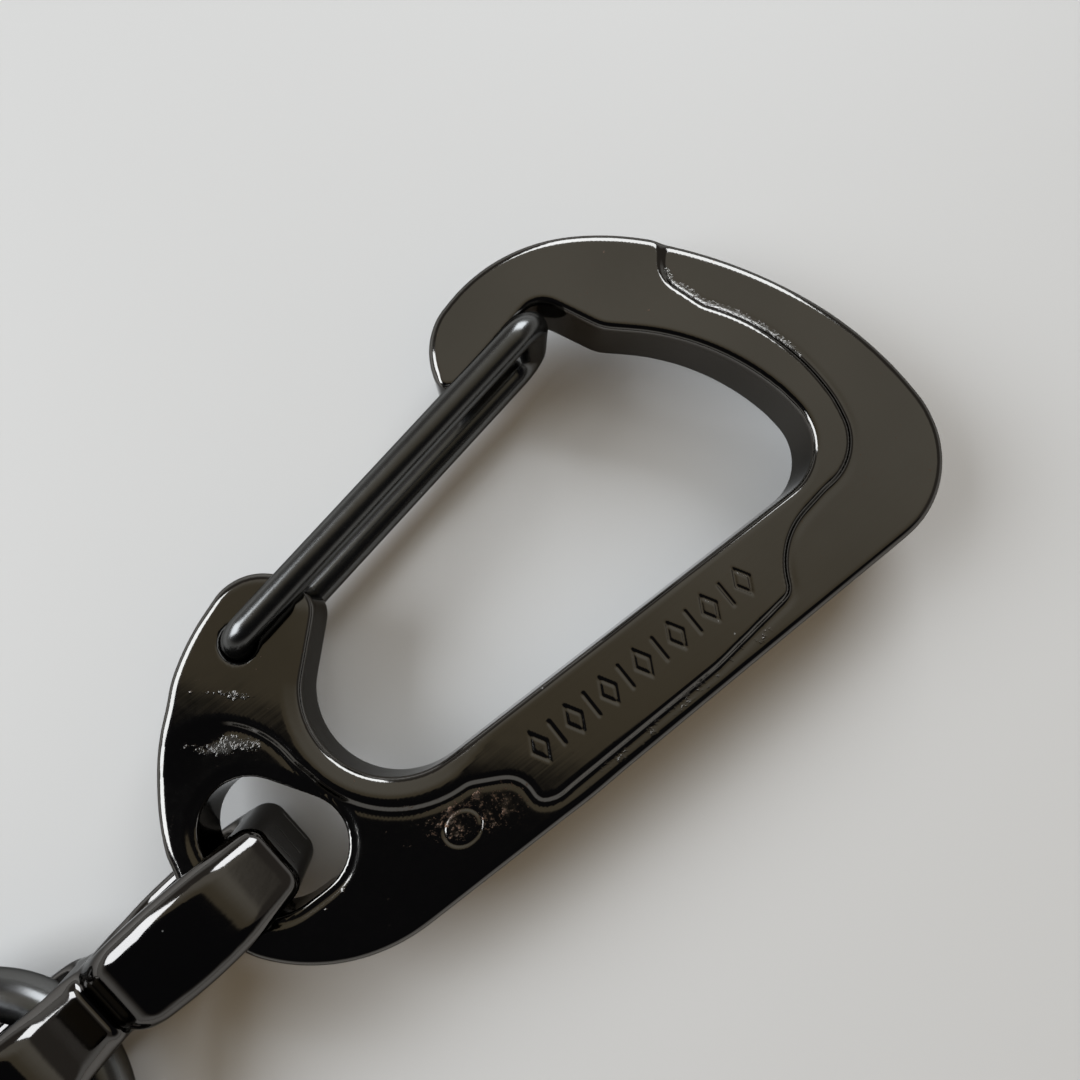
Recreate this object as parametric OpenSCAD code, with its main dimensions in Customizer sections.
// Carabiner keyring: cast wire-gate carabiner, figure-of-eight links, round ring
// and split key ring. Millimetres, +Z up, +X along the spine towards the nose end.

/* [Plate] */
// Thickness of the cast plate
plate_t = 6.5; // [5.5:0.1:7.5]
// Depth of the sunk panels in each face
panel_d = 0.45; // [0.2:0.05:0.8]
// Height of each of the two steps that break the plate's edges
edge_step = 0.3; // [0.2:0.05:0.5]
// Radius of the round lobes that make the eye
eye_r = 3.8; // [3.2:0.1:4]
// Width of the sunk seat round the eye
eye_seat = 0.7; // [0.3:0.1:1]

/* [Gate] */
// Wire diameter of the gate
wire_d = 2.5; // [2:0.1:3]
// Distance from the pivot to the vertical part of the wire's bend
gate_reach = 34.2; // [33:0.1:35]
// Direction of the closed gate
gate_angle = 10; // [8:0.5:12]
// Gap between a gate leg and the plate's face
leg_gap = 0.1; // [0.05:0.05:0.3]
// Depth of each gate pin in the lug
pin_depth = 2.2; // [1.5:0.1:2.8]
// Radial clearance of a gate pin in its hole
pin_gap = 0.08; // [0.03:0.01:0.1]

/* [Connector] */
// Length of a figure-of-eight link
link_l = 34.4; // [32:0.1:36]
// Half of the link's height at the middle of a lobe
link_h = 7.1; // [6.5:0.1:7.5]
// Thickness of the link at its lobes
link_t = 7.2; // [6:0.1:8]
// Thickness of the bars round the link's holes
bar = 3; // [2.5:0.1:3.2]
// Roll of the first link about its own length
link_roll = 8; // [0:1:12]

/* [Rings] */
// Outer radius of the round ring
ring_r = 12.3; // [11.5:0.1:13]
// Wire diameter of the round ring
ring_d = 3.8; // [3.4:0.1:4]
// Outer radius of the split ring
split_r = 14; // [13:0.5:16]
// Radial width of the split ring's flat wire
split_w = 2.5; // [2:0.1:3]
// Thickness of one turn of the split ring
split_t = 1.4; // [1:0.1:1.5]

/* [Hidden] */

$fn = 64;
over = 1;
dark = [0.2, 0.2, 0.21];
mid = [0.27, 0.27, 0.28];
pale = [0.36, 0.36, 0.38];

// Middle of the assembly's box in plate coordinates, and its lowest point
box_mid = [-13.92, 5.73];
floor_z = -4.28;

wire_r = wire_d / 2;
pivot = [5.2, 15];
bend_r = 2.4;
pin_bend_r = 1.7;
leg_z = plate_t + leg_gap + wire_r;
hole_r = wire_r + pin_gap;

eye_lobes = [[-2.5, 3.45], [-2.5, 0.1], [-0.3, 0]];

link_z = plate_t / 2;
link_waist = 4.4;
link_mid = link_l / 2;
link_1_at = [-1.3, 1, link_z];
link_1_yaw = 2.5;
ring_tube = ring_r - ring_d / 2;
ring_at = [-21.15 - ring_r, -1.9, 1.7];
link_2_at = [-38.2, ring_at[1], link_z];
split_gap = 0.2;
split_h = 2 * split_t + split_gap;
split_at = [-60.2 - split_r, ring_at[1], link_z - link_h + bar + 0.3];
split_ramp = 16;

// Points of an arc: centre, radius, first and last angle, number of steps
function arc(c, r, a, b, n) =
    [for (i = [0:n]) c + r * [cos(a + (b - a) * i / n), sin(a + (b - a) * i / n)]];

// The plate's walls as arcs, clockwise from the nose: outer side, gate lug, inner side
walls = [
    [[30.9, 21.9], 1.15, 280, 184, 8],
    [[35.95, 20.72], 6.3, 168, 112, 10],
    [[38.5, 12.75], 14.6, 107, 58, 12],
    [[34.05, 5.63], 23, 57, 41, 4],
    [[21.98, -4.87], 39, 40, 22, 8],
    [[30.36, -1.58], 30, 21, -4.5, 8],
    [[51.85, -2.75], 8.45, -11, -90, 12],
    [[20, 48.8], 60, -88.2, -93.2, 3],
    [[4.3, 3.8], 14.55, -92, -147, 12],
    [[-0.1, 1.1], 9.3, -148, -201, 9],
    [[10.33, -1.43], 20.2, 160.5, 128.5, 8],
    [[10.9, 0.3], 19.3, 127, 107, 6],
    [[7, 14.7], 4.6, 103, 13, 12],
    [[9.5, 14.85], 2.15, 2, -46, 6],
    [[12.6, 5.2], 7.1, 142, 269.5, 18],
    [[46.8, 2.1], 4.65, 269.5, 365, 14],
    [[34.7, 2.58], 16.55, 3, 50, 12],
    [[45.3, 18.9], 2.6, 229, 202, 4],
    [[39.45, 20.4], 2.1, 22, 100, 8]];

// The plate's outline moved in by a margin: outer arcs shrink and hollow arcs grow
function outline(inset) = [for (w = walls)
    each arc(w[0], w[2] > w[3] ? w[1] - inset : w[1] + inset, w[2], w[3], w[4])];

// Edge of the sunk face: far end's crescent, ledge under the spine, eye end; then
// far outside the plate
sunk_edge = concat(
    arc([52.7, 17.3], 3.1, 128, 206, 6),
    arc([36.9, 3.2], 17.2, 37, -8, 12),
    arc([49.4, 0.7], 4.4, -20, -95, 6),
    arc([47.3, -10.6], 6.6, 97, 160, 6),
    [[33, -9.1], [17.4, -9.05]],
    arc([13.7, -7.6], 2.7, -20, 60, 6),
    arc([12.6, 4.75], 8.65, 270, 187, 12),
    arc([-4.4, 5.3], 8, 0, 75, 8),
    [[-6, 15], [-16, 15], [-16, -20], [70, -20], [70, 30], [52.5, 30], [52.5, 24.5]]);

// The lip round the hook's lower bend, a little lower than the spine's face
lip_d = 0.2;
low_lip = concat(arc([12.6, 4.75], 9.2, 150, 262, 12), arc([12.6, 4.75], 5, 262, 150, 8));

// Thin edge bands are cut by drawing the plate in a pile of slightly inset slabs
inset_1 = 0.22;
inset_2 = 0.62;

// Outward normal's direction along the side that leaves an eye lobe, counter-clockwise
function eye_side(i) = let (d = eye_lobes[(i + 1) % 3] - eye_lobes[i % 3]) atan2(d[1], d[0]) - 90;

// Smallest turn from one direction to the next, counter-clockwise
function turn_to(a, b) = b < a ? b + 360 : b;

// The eye: three round lobes joined by straights, grown by a margin
function eye_points(grow) = [for (i = [0:2])
    let (a = eye_side(i + 2), b = turn_to(a, eye_side(i)))
        each arc(eye_lobes[i], eye_r + grow, a, b, 12)];

module eye(grow, h) {
    linear_extrude(height = h) polygon(eye_points(grow));
}

module slab(inset, z, h) {
    translate([0, 0, z]) linear_extrude(height = h) polygon(outline(inset));
}

// The face detail of one side, as a tool to cut away
module face_cuts() {
    translate([0, 0, plate_t - panel_d]) linear_extrude(height = panel_d + over)
        polygon(sunk_edge);
    translate([0, 0, plate_t - lip_d]) linear_extrude(height = lip_d + over) polygon(low_lip);
    translate([0, 0, plate_t - 2 * panel_d]) eye(eye_seat, 2 * panel_d + over);
    translate([pivot[0], pivot[1], plate_t - pin_depth - pin_gap])
        cylinder(r = hole_r, h = pin_depth + over);
}

module carabiner_body() {
    color(dark)
    difference() {
        union() {
            slab(0, 2 * edge_step, plate_t - 4 * edge_step);
            slab(inset_1, edge_step, plate_t - 2 * edge_step);
            slab(inset_2, 0, plate_t);
        }
        translate([0, 0, -over]) eye(0, plate_t + 2 * over);
        face_cuts();
        translate([0, 0, plate_t]) mirror([0, 0, 1]) face_cuts();
    }
}

// A quarter turn of round wire in the XZ plane, from +X down to -Z
module wire_bend(radius, thick) {
    rotate([90, 0, 0]) rotate_extrude(angle = 90) translate([radius, 0]) circle(d = thick);
}

// One leg: pin, bend, straight and the near half of the far bend
module gate_half() {
    rise = leg_z - pin_bend_r;
    translate([0, 0, plate_t - pin_depth]) cylinder(d = wire_d, h = rise - plate_t + pin_depth);
    translate([pin_bend_r, 0, rise]) mirror([1, 0, 0]) wire_bend(pin_bend_r, wire_d);
    translate([pin_bend_r, 0, leg_z]) rotate([0, 90, 0])
        cylinder(d = wire_d, h = gate_reach - pin_bend_r - bend_r);
    translate([gate_reach - bend_r, 0, leg_z - bend_r]) wire_bend(bend_r, wire_d);
    translate([gate_reach, 0, plate_t / 2]) cylinder(d = wire_d, h = leg_z - bend_r - plate_t / 2);
}

module wire_gate() {
    color(pale)
    translate([pivot[0], pivot[1], 0]) rotate([0, 0, gate_angle]) {
        gate_half();
        translate([0, 0, plate_t]) mirror([0, 0, 1]) gate_half();
    }
}

// Upper edge of one lobe, from the link's end to the crease at its waist
lobe_edge = concat(
    arc([1.6, 3.95], 1.6, 180, 122, 5),
    arc([8.4, link_h - 15], 15, 118, 84, 10),
    arc([11.4, 2.05], 4.9, 76, 38, 6),
    [[link_mid, 3]]);
link_top = concat(lobe_edge,
    [for (i = [len(lobe_edge) - 2:-1:0]) [link_l - lobe_edge[i][0], lobe_edge[i][1]]]);
link_side = concat(link_top,
    [for (i = [len(link_top) - 1:-1:0]) [link_top[i][0], -link_top[i][1]]]);

// Hole of one lobe: long slot with round ends
module link_hole(u) {
    len_in = link_mid - link_waist / 2 - bar;
    half = link_h - bar;
    round_r = 2.6;
    for (x = [round_r, len_in - round_r]) {
        for (y = [-1, 1]) {
            translate([u + x, y * (half - round_r), -over])
                cylinder(r = round_r, h = 2 * link_t);
        }
    }
    translate([u, round_r - half, -over]) cube([len_in, 2 * (half - round_r), 2 * link_t]);
    translate([u + round_r, -half, -over]) cube([len_in - 2 * round_r, 2 * half, 2 * link_t]);
}

// Barrel-shaped plan of a link: thicker over the lobes than at the ends and waist
module link_plan() {
    half = link_t / 2;
    end_in = 0.5;
    break_in = 0.7;
    lobe_at = link_mid / 2;
    linear_extrude(height = 3 * link_h, center = true) polygon([
        [0, break_in + end_in - half], [break_in, end_in - half], [lobe_at, -half],
        [link_mid, end_in - half], [link_l - lobe_at, -half],
        [link_l - break_in, end_in - half], [link_l, break_in + end_in - half],
        [link_l, half - end_in - break_in], [link_l - break_in, half - end_in],
        [link_l - lobe_at, half], [link_mid, half - end_in], [lobe_at, half],
        [break_in, half - end_in], [0, half - end_in - break_in]]);
}

// One figure-of-eight link along -X from the origin, standing on edge
module link() {
    mirror([1, 0, 0])
    intersection() {
        rotate([90, 0, 0]) translate([0, 0, -link_t / 2]) difference() {
            linear_extrude(height = link_t) polygon(link_side);
            link_hole(bar);
            link_hole(link_mid + link_waist / 2);
        }
        link_plan();
    }
}

module connector_1() {
    color(mid)
    translate(link_1_at) rotate([0, 0, link_1_yaw]) rotate([link_roll, 0, 0]) link();
}

module round_ring() {
    color(pale)
    translate(ring_at) rotate_extrude() translate([ring_tube, 0]) circle(d = ring_d);
}

module connector_2() {
    color(mid)
    translate(link_2_at) link();
}

// Flat wire cross-section with broken corners, at the split ring's radius
module split_wire() {
    cut = 0.25;
    translate([split_r - split_w, 0]) polygon([
        [cut, 0], [split_w - cut, 0], [split_w, cut], [split_w, split_t - cut],
        [split_w - cut, split_t], [cut, split_t], [0, split_t - cut], [0, cut]]);
}

module split_turn(z) {
    translate([0, 0, z]) rotate([0, 0, split_ramp]) rotate_extrude(angle = 360 - split_ramp)
        split_wire();
}

// The short stretch of wire that climbs from the lower turn to the upper one
module split_climb(lift) {
    mid_r = split_r - split_w / 2;
    chord = 2 * mid_r * sin(split_ramp / 2);
    tilt = atan(lift / chord);
    lap = 0.6;
    inside = 0.2;
    rotate([0, 0, split_ramp / 2]) translate([mid_r, 0, split_h / 2]) rotate([tilt, 0, 0])
        cube([split_w - 2 * inside, chord / cos(tilt) + lap, split_t - inside], center = true);
}

module split_ring() {
    lift = split_t + split_gap;
    color(pale)
    translate(split_at) {
        split_turn(0);
        split_turn(lift);
        split_climb(lift);
    }
}

module placed() {
    translate([-box_mid[0], -box_mid[1], -floor_z]) children();
}

placed() carabiner_body();
placed() wire_gate();
placed() connector_1();
placed() round_ring();
placed() connector_2();
placed() split_ring();
